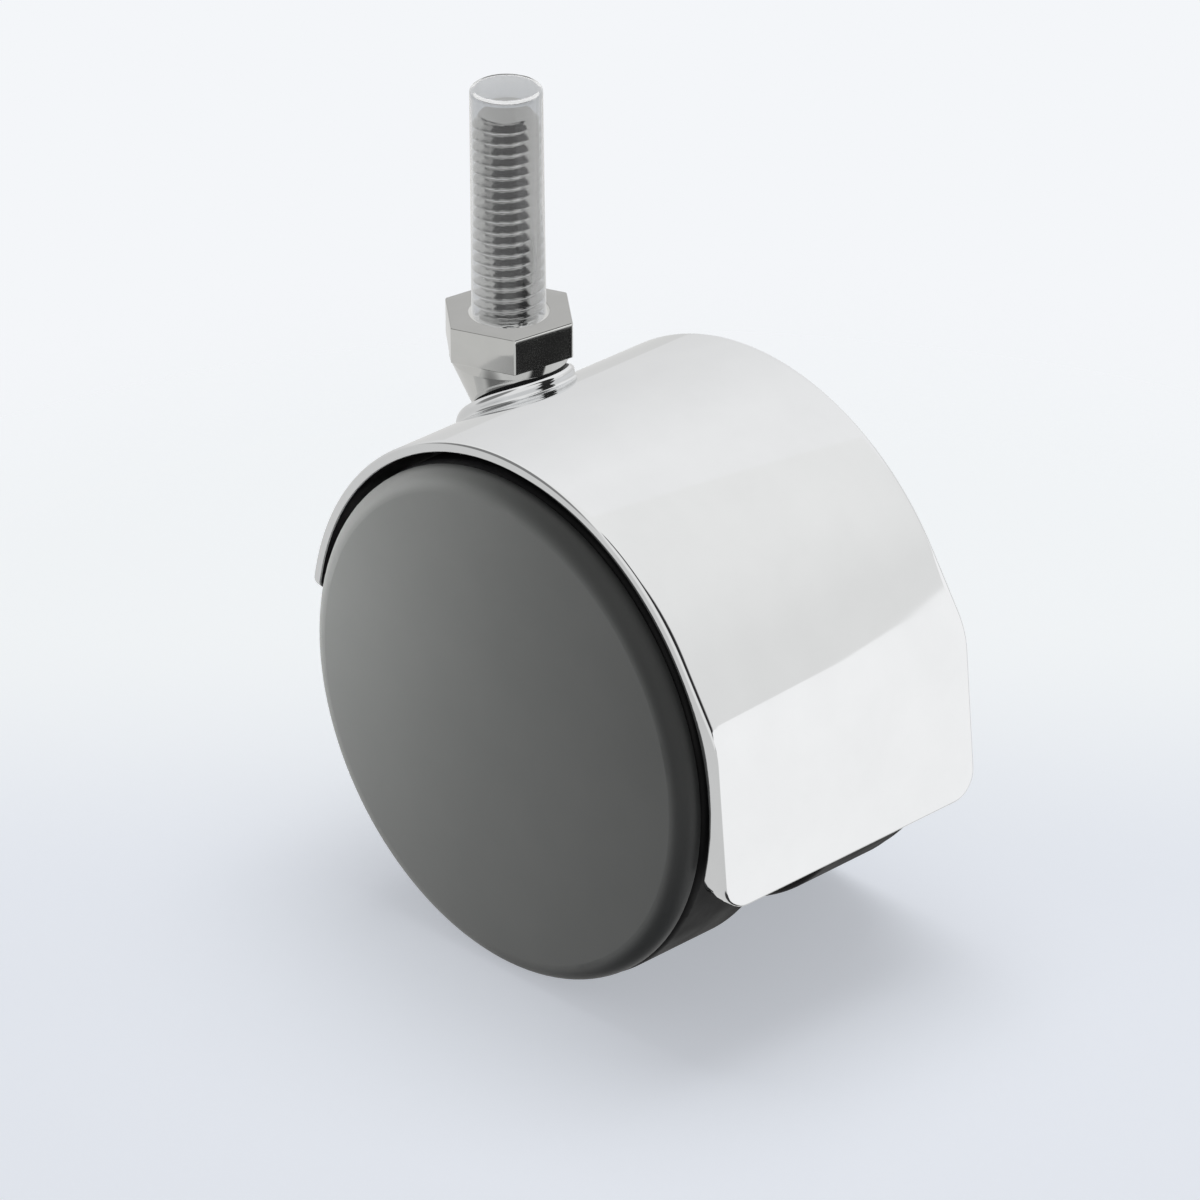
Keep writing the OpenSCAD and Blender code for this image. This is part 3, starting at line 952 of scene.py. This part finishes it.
@dataclass
class Stem:
    """Turned stem: screw thread, hex collar, tapered neck and pintle."""

    # Screw thread, with its crest's half width and its depth as shares of the pitch
    thread_r: float = 3.95
    thread_l: float = 25.4
    pitch: float = 1.411
    crest: float = 1 / 16
    depth: float = 0.6134
    chamfer: float = 0.9
    undercut_r: float = 3.2
    undercut_z: float = 0.9
    undercut_run: float = 0.5
    # Hex collar and the relief in its top
    relief_r: float = 4.73
    relief_z: float = -0.4
    hex_flat: float = 7.145
    hex_h: float = 4.5
    hex_turn: float = 21.6
    hex_corner: float = 0.35
    hex_corner_least: float = 0.05
    hex_foot: float = 0.08
    edge: float = 0.16
    # Shoulder and tapered neck, with the taper's soft end as a step out, up and down
    shoulder_r: float = 7.045
    shoulder_z: float = -5.8
    shoulder_edge: float = 0.35
    shoulder_lift: float = 0.6
    neck_r: float = 4.0
    taper_z: float = -12.8
    taper_end: tuple[float, float, float] = (0.25, 0.5, 0.3)
    neck_z: float = -16.3
    neck_edge: float = 0.15
    # Pintle and its clip groove
    pintle_r: float = 3.175
    groove_r: float = 2.475
    groove_z: Pair = (-28.65, -29.55)
    pintle_z: float = -31.15
    tip_rise: float = 0.7
    tip_inset: float = 0.25
    # Fineness of the mesh in rows and in degrees, and the angle above which its edges stay sharp
    rows_per_turn: int = 16
    edge_rings: int = 4
    shoulder_steps: int = 5
    corner_turns: tuple[float, ...] = (0.0, 0.35, 0.7, 1.05, 1.4, 2.4, 5.0)
    flat_turns: tuple[float, float, int] = (8.0, 52.0, 12)
    crease: float = 28.0

    def turns(self) -> np.ndarray:
        """Spreads points around the stem, closest together at the hex's corners.

        Returns:
            Their angles in radians.
        """
        near = list(self.corner_turns)
        far = [HEX_SECTOR - a for a in reversed(near[1:])]
        sector = near + list(np.linspace(*self.flat_turns)) + far
        return np.radians([self.hex_turn + HEX_SECTOR * k + a for k in range(HEX_SIDES) for a in sector])

    def hex_radius(self, turn: np.ndarray, inset: float) -> np.ndarray:
        """Measures the hex with its rounded corners, moved in by an inset.

        Args:
            turn: Angles around the stem, in radians.
            inset: Distance from the hex's real sides.

        Returns:
            Distance from the axis at each angle.
        """
        flat = self.hex_flat - inset
        half = math.pi / HEX_SIDES
        off = (np.degrees(turn) - self.hex_turn) % HEX_SECTOR
        off = np.radians(np.minimum(off, HEX_SECTOR - off))
        straight = flat / np.cos(half - off)
        corner = max(self.hex_corner - inset, self.hex_corner_least)
        centre = (flat - corner) / math.cos(half)
        reach = centre * np.cos(off) + np.sqrt(np.maximum(corner**2 - (centre * np.sin(off)) ** 2, 0))
        tangent = math.atan2(corner / 2, centre + corner * math.cos(half))
        return np.where(off < tangent, reach, straight)

    def thread_radius(self, turn: np.ndarray, z: float) -> np.ndarray:
        """Measures the screw thread at a height: crest, 60 degree flanks and root.

        Args:
            turn: Angles around the stem, in radians.
            z: The height.

        Returns:
            Distance from the axis at each angle.
        """
        phase = (z / self.pitch - turn / (2 * math.pi)) % 1
        from_crest = np.abs(phase - 0.5) * self.pitch
        crest, depth = self.crest * self.pitch, self.depth * self.pitch
        cut = np.clip((from_crest - crest) * math.sqrt(3), 0, depth)
        radius = self.thread_r - cut
        tip = self.thread_r - self.chamfer + np.maximum(self.thread_l - z, 0)
        radius = np.minimum(radius, tip)
        foot = np.clip((self.undercut_z - z) / self.undercut_run, 0, 1)
        return radius + foot * (np.minimum(radius, self.undercut_r) - radius)

    def build(self) -> bpy.types.Object:
        """Models the stem as one closed skin.

        Returns:
            The stem.
        """
        turn = self.turns()
        rings: list[tuple[np.ndarray, np.ndarray]] = []

        def ring(radius: np.ndarray | float, z: np.ndarray | float) -> None:
            """Adds a ring of the skin at a radius and a height."""
            rings.append((np.broadcast_to(radius, turn.shape), np.broadcast_to(z, turn.shape)))

        ring((self.thread_r - self.chamfer) / 2, self.thread_l)
        for z in np.arange(self.thread_l, self.relief_z, -self.pitch / self.rows_per_turn):
            ring(self.thread_radius(turn, z), z)
        ring(self.undercut_r, self.relief_z)
        ring(self.relief_r - self.edge, self.relief_z)
        ring(self.relief_r, self.relief_z + self.edge)
        ring(self.relief_r, -self.edge / 2)
        ring(self.relief_r + self.edge / 2, 0.0)
        ring((self.relief_r + self.hex_flat) / 2, 0.0)
        for t in np.radians(np.linspace(0, 90, self.edge_rings)):
            ring(self.hex_radius(turn, self.edge * (1 - math.sin(t))), -self.edge * (1 - math.cos(t)))
        side = self.hex_radius(turn, 0)
        ring(side, -self.hex_h / 2)
        ring(side, self.hex_foot - self.hex_h)
        ring(self.hex_radius(turn, self.hex_foot), -self.hex_h)
        ring(self.shoulder_r, -self.hex_h)
        ring(self.shoulder_r, -self.hex_h - self.hex_foot)
        for r, z in self.lower_profile():
            ring(r, z)
        rows = [np.column_stack([r * np.cos(turn), r * np.sin(turn), z]) for r, z in rings]
        made = closed_skin("swivel_stem", rows, self.thread_l, self.pintle_z)
        for face in made.data.polygons:
            face.material_index = int(face.center.z > -self.edge * MM / 2)
        soften(made, self.crease)
        return made

    def lower_profile(self) -> list[Pair]:
        """Draws the profile under the hex: shoulder, taper, neck, pintle and clip groove.

        Returns:
            Radius and height of each corner, from the shoulder down.
        """
        slope = math.atan2(self.shoulder_r - self.neck_r, self.shoulder_z - self.taper_z)
        round_r = self.shoulder_r - self.shoulder_edge
        round_z = self.shoulder_z + self.shoulder_edge * self.shoulder_lift
        edge = arc((round_r, round_z), self.shoulder_edge, 0, -math.degrees(slope), self.shoulder_steps)
        high, low = self.groove_z
        out, up, down = self.taper_end
        return [
            *edge, (self.neck_r + out, self.taper_z + up), (self.neck_r, self.taper_z - down),
            (self.neck_r, self.neck_z + self.neck_edge), (self.neck_r - self.neck_edge, self.neck_z),
            (self.pintle_r, self.neck_z), (self.pintle_r, high), (self.groove_r, high),
            (self.groove_r, low), (self.pintle_r, low), (self.pintle_r, self.pintle_z + self.tip_rise),
            (self.groove_r - self.tip_inset, self.pintle_z),
        ]

    def dress(self, stem: bpy.types.Object) -> None:
        """Plates the stem and puts it in place of its solid. The hood doesn't mirror it.

        Args:
            stem: The stem.
        """
        dress(stem, ZINC_PLATE.material(), TURNED_ZINC.material())
        stem.visible_glossy = False
        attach(stem, Body.STEM.value)
        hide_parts("threaded_stem")


@dataclass
class ThreadCap:
    """Clear cap pushed over the thread, thin in the wall and closed at its top."""

    mouth_r: float = 4.38
    tip_r: float = 4.26
    bore_r: float = 4.0
    low: float = -0.4
    roof: float = 28.0
    top: float = 28.5
    edge: float = 0.6
    roof_edge: float = 0.35
    mouth_edge: float = 0.12
    mouth_rise: float = 0.3
    middle_z: float = 14.0
    # Fineness of the mesh, and the angle above which its edges stay sharp
    roof_steps: int = 5
    edge_steps: int = 8
    mouth_steps: int = 6
    steps: int = 128
    crease: float = 40.0

    def build(self) -> bpy.types.Object:
        """Models the cap with its rounded end, its mouth and its bore.

        Returns:
            The cap.
        """
        roof_round = (self.bore_r - self.roof_edge, self.roof - self.roof_edge)
        top_round = (self.tip_r - self.edge, self.top - self.edge)
        mouth_round = ((self.mouth_r + self.bore_r) / 2, self.low + self.mouth_edge)
        mouth_top = self.low + self.mouth_rise
        profile = [
            (0, self.roof), *arc(roof_round, self.roof_edge, 90, 0, self.roof_steps),
            (self.bore_r, self.middle_z), (self.bore_r, mouth_top),
            *arc(mouth_round, self.mouth_edge, 180, 360, self.mouth_steps),
            (self.mouth_r, mouth_top), ((self.mouth_r + self.tip_r) / 2, self.middle_z),
            *arc(top_round, self.edge, 0, 90, self.edge_steps), (0, self.top),
        ]
        made = turned("thread_cap", profile, self.steps)
        soften(made, self.crease)
        return made

    def dress(self, cap: bpy.types.Object) -> None:
        """Gives the cap its clear plastic and puts it in place of its solid. The hood doesn't mirror it.

        Args:
            cap: The cap.
        """
        dress(cap, CLEAR_CAP.material())
        cap.visible_glossy = False
        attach(cap, Body.CAP.value)
        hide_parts("thread_protector")


# Pieces whose solids already have the right shape


@dataclass
class FittedPieces:
    """Wheels and small metal pieces, which keep the shape of their solids."""

    finishes: dict[str, Finish] = field(
        default_factory=lambda: {
            "thrust_washer": BRIGHT_STEEL,
            "axle": BRIGHT_STEEL,
            "stem_clip": SPRING_STEEL,
            "swivel_bush": NATURAL_NYLON,
            **{f"{side.value}_spacer": BRIGHT_STEEL for side in Side},
            **{f"{side.value}_axle_clip": SPRING_STEEL for side in Side},
            **{f"{side.value}_wheel_core": CHARCOAL_NYLON for side in Side},
            **{f"{side.value}_tyre": SOFT_TREAD for side in Side},
            **{f"{side.value}_face_cover": SATIN_ABS for side in Side},
        }
    )

    def dress(self) -> None:
        """Gives each piece its finish."""
        made: dict[str, bpy.types.Material] = {}
        for node, finish in self.finishes.items():
            if finish.name not in made:
                made[finish.name] = finish.material()
            dress(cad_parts[node], made[finish.name])
            LOG.info("%s: %s", node, finish.name)


# Studio


@dataclass(frozen=True)
class Patch:
    """A round patch of the studio around the castor that is lighter or darker than the rest.

    One that is behind_clear shows only in metal under clear plastic.
    """

    towards: Spot
    half_deg: float
    soft_deg: float
    level: float
    behind_clear: bool = False


@dataclass(frozen=True)
class Card:
    """A flat bright card that only metal sees, in millimetres from the axle.

    Its edge draws the line that the hood mirrors, and its brightness goes from the first level at that edge
    to the second at its far side.
    """

    name: str
    edge: tuple[Spot, Spot]
    fall: Spot
    level: Pair


@dataclass(frozen=True)
class Softbox:
    """A soft light that points at the axle, in millimetres from it.

    One that is off_floor has a flag that keeps its light off the floor.
    """

    name: str
    place: Spot
    size: Pair
    watts: float
    off_floor: bool = False


@dataclass
class Studio:
    """Pale floor, soft light and the camera of the photograph."""

    axle: Spot = AXLE
    # Floor, which fades into the backdrop
    floor_z: float = -70.62
    floor_r: float = 108.0
    floor_fade: float = 70.0
    floor_colour: str = "DCE0E7"
    floor_far: str = "E8EBED"
    floor_blend: Pair = (0.0, 70.0)
    floor_glow: float = 0.56
    floor_steps: int = 64
    backdrop: str = "F4F6F9"
    # Camera, in degrees and millimetres, with its clip distances in metres
    azimuth: float = 46.485
    elevation: float = 28.084
    roll: float = -0.386
    distance: float = 937.7
    aim: Pair = (-4.06, 7.59)
    lens: float = 240.0
    sensor: float = 36.0
    clip: Pair = (0.01, 10.0)
    # Light from all around, and the tent that metal mirrors: its brightness low down and high up
    ambient: float = 0.24
    ambient_colour: str = "FEFEFF"
    tent: Pair = (0.72, 1.02)
    tent_z: Pair = (-0.25, 0.75)
    tent_colour: str = "FFFFFE"
    patches: tuple[Patch, ...] = (
        # A dark gap to the right of the camera, of which the bright front leaves a sickle
        Patch((0.754, -0.133, 0.643), half_deg=43.0, soft_deg=2.0, level=0.03),
        Patch((0.594, -0.561, 0.576), half_deg=38.0, soft_deg=4.0, level=0.95),
        # The dark of the ground, a dimmer stretch on the left, and a gap overhead for the thread alone
        Patch((0.21, -0.22, -0.95), half_deg=36.0, soft_deg=5.0, level=0.05),
        Patch((-0.62, -0.55, 0.56), half_deg=30.0, soft_deg=8.0, level=0.25),
        Patch((0.0, 0.0, 1.0), half_deg=30.0, soft_deg=4.0, level=0.04, behind_clear=True),
    )
    cards: tuple[Card, ...] = (
        Card(
            "back_softbox", edge=((-123.0, 88.0, 268.0), (130.0, 278.0, 268.0)),
            fall=(-263.0, -1.0, -251.0), level=(1.05, 0.74),
        ),
        Card(
            "side_card", edge=((127.4, -42.5, 33.5), (89.0, 191.1, 71.9)),
            fall=(0.0, 0.0, -220.0), level=(1.14, 1.1),
        ),
    )
    lights: tuple[Softbox, ...] = (
        Softbox("key_left", place=(-90.0, -58.0, 10.0), size=(60.0, 80.0), watts=0.33, off_floor=True),
        Softbox("top_light", place=(-60.0, 120.0, 560.0), size=(480.0, 330.0), watts=1.2),
    )

    def axes(self) -> tuple[Vector, Vector, Vector]:
        """Works out how the camera stands, without its roll.

        Returns:
            Its right, up and back directions.
        """
        a, e = math.radians(self.azimuth), math.radians(self.elevation)
        back = Vector((math.sin(a) * math.cos(e), -math.cos(a) * math.cos(e), math.sin(e)))
        right = Vector((math.cos(a), math.sin(a), 0))
        return right, back.cross(right), back

    def camera(self) -> None:
        """Places the camera where the photograph was taken from."""
        right, up, back = self.axes()
        tilt = math.radians(self.roll)
        across = right * math.cos(tilt) + up * math.sin(tilt)
        upright = up * math.cos(tilt) - right * math.sin(tilt)
        target = Vector(self.axle) + right * self.aim[0] + up * self.aim[1]
        data = bpy.data.cameras.new("photo_camera")
        data.lens = self.lens
        data.sensor_width = self.sensor
        data.clip_start, data.clip_end = self.clip
        made = bpy.data.objects.new("photo_camera", data)
        place = Matrix((across, upright, back)).transposed().to_4x4()
        place.translation = (target + back * self.distance) * MM
        made.matrix_world = place
        bpy.context.scene.collection.objects.link(made)
        bpy.context.scene.camera = made

    def floor(self) -> bpy.types.Object:
        """Lays a round pale floor that takes the castor's shadow and fades into the background.

        It is clear from below, so that the underside can be looked at.

        Returns:
            The floor.
        """
        reach = self.floor_r + self.floor_fade
        count = self.floor_steps
        turn = np.linspace(0, 2 * math.pi, count, endpoint=False)
        rim = np.column_stack([np.cos(turn), np.sin(turn), np.zeros(count)]) * reach
        rim += (self.axle[0], 0.0, self.floor_z)
        made = mesh_object("floor", rim, [list(range(count))])
        material = bpy.data.materials.new("floor_paper")
        material.use_nodes = True
        tree = material.node_tree
        shader = tree.nodes["Principled BSDF"]
        shader.inputs["Roughness"].default_value = 1.0
        shader.inputs["Specular IOR Level"].default_value = 0.0
        place = add_node(tree, "ShaderNodeTexCoord").outputs["Object"]
        # The paper gets paler away from the camera
        away = Vector((0, 0, 1)).cross(self.axes()[0])
        depth = add_node(tree, "ShaderNodeVectorMath", {"operation": "DOT_PRODUCT"}, {0: place, 1: away})
        middle = Vector(self.axle).dot(away)
        back = add_node(
            tree, "ShaderNodeMapRange", {"interpolation_type": "SMOOTHSTEP"},
            {"Value": depth.outputs["Value"], "From Min": (middle + self.floor_blend[0]) * MM,
             "From Max": (middle + self.floor_blend[1]) * MM},
        )
        paper = add_node(
            tree, "ShaderNodeMix", {"data_type": "RGBA"},
            {"Factor": back.outputs["Result"], COLOUR_A: linear(self.floor_colour),
             COLOUR_B: linear(self.floor_far)},
        ).outputs[COLOUR_OUT]
        tree.links.new(paper, shader.inputs["Base Color"])
        # It glows a little to the camera, and still takes the shadow
        rays = add_node(tree, "ShaderNodeLightPath")
        glow = add_node(
            tree, "ShaderNodeMath", {"operation": "MULTIPLY"},
            {0: rays.outputs["Is Camera Ray"], 1: self.floor_glow},
        )
        tree.links.new(paper, shader.inputs["Emission Color"])
        tree.links.new(glow.outputs[0], shader.inputs["Emission Strength"])
        # Its rim fades out, and its underside is clear
        centre = add_node(
            tree, "ShaderNodeVectorMath", {"operation": "DISTANCE"},
            {0: place, 1: (self.axle[0] * MM, 0, self.floor_z * MM)},
        )
        fade = add_node(
            tree, "ShaderNodeMapRange", {"interpolation_type": "SMOOTHSTEP"},
            {"Value": centre.outputs["Value"], "From Min": self.floor_r * MM, "From Max": reach * MM},
        )
        below = add_node(tree, "ShaderNodeNewGeometry").outputs["Backfacing"]
        gone = add_node(
            tree, "ShaderNodeMath", {"operation": "MAXIMUM"}, {0: fade.outputs["Result"], 1: below}
        )
        clear = add_node(tree, "ShaderNodeBsdfTransparent")
        mix = add_node(
            tree, "ShaderNodeMixShader",
            inputs={0: gone.outputs[0], 1: shader.outputs[0], 2: clear.outputs[0]},
        )
        tree.links.new(mix.outputs[0], tree.nodes["Material Output"].inputs["Surface"])
        made.data.materials.append(material)
        made.visible_glossy = False
        return made

    def card(self, card: Card) -> None:
        """Stands up a bright card.

        Args:
            card: The card's place and brightness.
        """
        near = [Vector(self.axle) + Vector(corner) for corner in card.edge]
        fall = Vector(card.fall)
        corner_points = np.array([*near, near[1] + fall, near[0] + fall])
        made = mesh_object(card.name, corner_points, [[0, 1, 2, 3]])
        material = bpy.data.materials.new(f"{card.name}_cloth")
        material.use_nodes = True
        tree = material.node_tree
        tree.nodes.clear()
        place = add_node(tree, "ShaderNodeTexCoord").outputs["Object"]
        down = add_node(
            tree, "ShaderNodeVectorMath", {"operation": "DOT_PRODUCT"}, {0: place, 1: fall.normalized()}
        )
        edge = near[0].dot(fall.normalized())
        level = add_node(
            tree, "ShaderNodeMapRange",
            inputs={"Value": down.outputs["Value"],
                    "From Min": edge * MM, "From Max": (edge + fall.length) * MM,
                    "To Min": card.level[0], "To Max": card.level[1]},
        )
        glow = add_node(tree, "ShaderNodeEmission", inputs={"Strength": level.outputs["Result"]})
        add_node(tree, "ShaderNodeOutputMaterial", inputs={"Surface": glow.outputs[0]})
        made.data.materials.append(material)
        for kind in ("camera", "diffuse", "transmission", "shadow"):
            setattr(made, f"visible_{kind}", False)

    def world(self) -> None:
        """Surrounds the castor with a pale background that metal mirrors as a light tent with dark gaps."""
        made = bpy.data.worlds.new("studio")
        made.use_nodes = True
        tree = made.node_tree
        tree.nodes.clear()
        towards = add_node(tree, "ShaderNodeTexCoord").outputs["Generated"]
        height = add_node(tree, "ShaderNodeSeparateXYZ", inputs={0: towards}).outputs["Z"]
        level = add_node(
            tree, "ShaderNodeMapRange", {"interpolation_type": "SMOOTHSTEP"},
            {"Value": height, "From Min": self.tent_z[0], "From Max": self.tent_z[1],
             "To Min": self.tent[0], "To Max": self.tent[1]},
        ).outputs["Result"]
        rays = add_node(tree, "ShaderNodeLightPath")
        for patch in self.patches:
            near = add_node(
                tree, "ShaderNodeVectorMath", {"operation": "DOT_PRODUCT"},
                {0: towards, 1: Vector(patch.towards).normalized()},
            )
            mask = add_node(
                tree, "ShaderNodeMapRange", {"interpolation_type": "SMOOTHSTEP"},
                {"Value": near.outputs["Value"],
                 "From Min": math.cos(math.radians(patch.half_deg + patch.soft_deg)),
                 "From Max": math.cos(math.radians(patch.half_deg - patch.soft_deg))},
            )
            if patch.behind_clear:
                # The count of clear faces that a ray has passed, held to 0 or 1
                mask = add_node(
                    tree, "ShaderNodeMath", {"operation": "MULTIPLY", "use_clamp": True},
                    {0: mask.outputs[0], 1: rays.outputs["Transmission Depth"]},
                )
            level = add_node(
                tree, "ShaderNodeMix", {"data_type": "FLOAT"},
                {0: mask.outputs[0], NUMBER_A: level, NUMBER_B: patch.level},
            ).outputs[0]
        # The camera sees the plain backdrop, also straight through clear plastic
        straight = add_node(
            tree, "ShaderNodeMath", {"operation": "LESS_THAN"},
            {0: rays.outputs["Glossy Depth"], 1: HALF_BOUNCE},
        )
        through = add_node(
            tree, "ShaderNodeMath", {"operation": "MULTIPLY"},
            {0: rays.outputs["Is Transmission Ray"], 1: straight.outputs[0]},
        )
        seen = add_node(
            tree, "ShaderNodeMath", {"operation": "MAXIMUM"},
            {0: rays.outputs["Is Camera Ray"], 1: through.outputs[0]},
        )
        # Mirrors see the tent, and dull surfaces get the even light
        mirrored = add_node(
            tree, "ShaderNodeMath", {"operation": "MAXIMUM"},
            {0: rays.outputs["Is Glossy Ray"], 1: rays.outputs["Is Transmission Ray"]},
        )
        tent, soft, plain = (
            add_node(tree, "ShaderNodeBackground", inputs={"Color": linear(colour), "Strength": strength})
            for colour, strength in (
                (self.tent_colour, level), (self.ambient_colour, self.ambient), (self.backdrop, 1.0)
            )
        )
        lit = add_node(
            tree, "ShaderNodeMixShader",
            inputs={0: mirrored.outputs[0], 1: soft.outputs[0], 2: tent.outputs[0]},
        )
        final = add_node(
            tree, "ShaderNodeMixShader", inputs={0: seen.outputs[0], 1: lit.outputs[0], 2: plain.outputs[0]}
        )
        add_node(tree, "ShaderNodeOutputWorld", inputs={"Surface": final.outputs[0]})
        bpy.context.scene.world = made

    def softbox(self, light: Softbox, floor: bpy.types.Object) -> None:
        """Hangs a soft light. Metal and clear plastic don't mirror it.

        Args:
            light: The light's place, size and power.
            floor: The floor, which the light may be kept off.
        """
        data = bpy.data.lights.new(light.name, "AREA")
        data.shape = "RECTANGLE"
        data.size, data.size_y = light.size[0] * MM, light.size[1] * MM
        data.energy = light.watts
        made = bpy.data.objects.new(light.name, data)
        away = Vector(light.place)
        made.location = (Vector(self.axle) + away) * MM
        made.rotation_mode = "QUATERNION"
        made.rotation_quaternion = away.to_track_quat("Z", "Y")
        for kind in ("camera", "glossy", "transmission"):
            setattr(made, f"visible_{kind}", False)
        bpy.context.scene.collection.objects.link(made)
        if light.off_floor:
            shaded = bpy.data.collections.new(f"{light.name}_flag")
            shaded.objects.link(floor)
            shaded.collection_objects[0].light_linking.link_state = "EXCLUDE"
            made.light_linking.receiver_collection = shaded

    def build(self) -> None:
        """Sets up the camera, floor, background and lights."""
        self.camera()
        floor = self.floor()
        self.world()
        for card in self.cards:
            self.card(card)
        for light in self.lights:
            self.softbox(light, floor)
        bpy.context.scene.view_settings.view_transform = "Standard"


def corners(box: tuple[Vector, Vector]) -> list[list[float]]:
    """Turns a box into plain lists of numbers."""
    return [[float(x) for x in corner] for corner in box]


def main() -> None:
    """Builds and dresses each sub-assembly, then the studio."""
    logging.basicConfig(level=logging.INFO, format="%(name)s: %(message)s")
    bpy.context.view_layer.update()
    for part in (Hood(), Stem(), ThreadCap()):
        piece = part.build()
        part.dress(piece)
        LOG.info("%s: %d faces", piece.name, len(piece.data.polygons))
    FittedPieces().dress()
    Studio().build()
    bpy.context.view_layer.update()


if __name__ == "__main__":
    main()
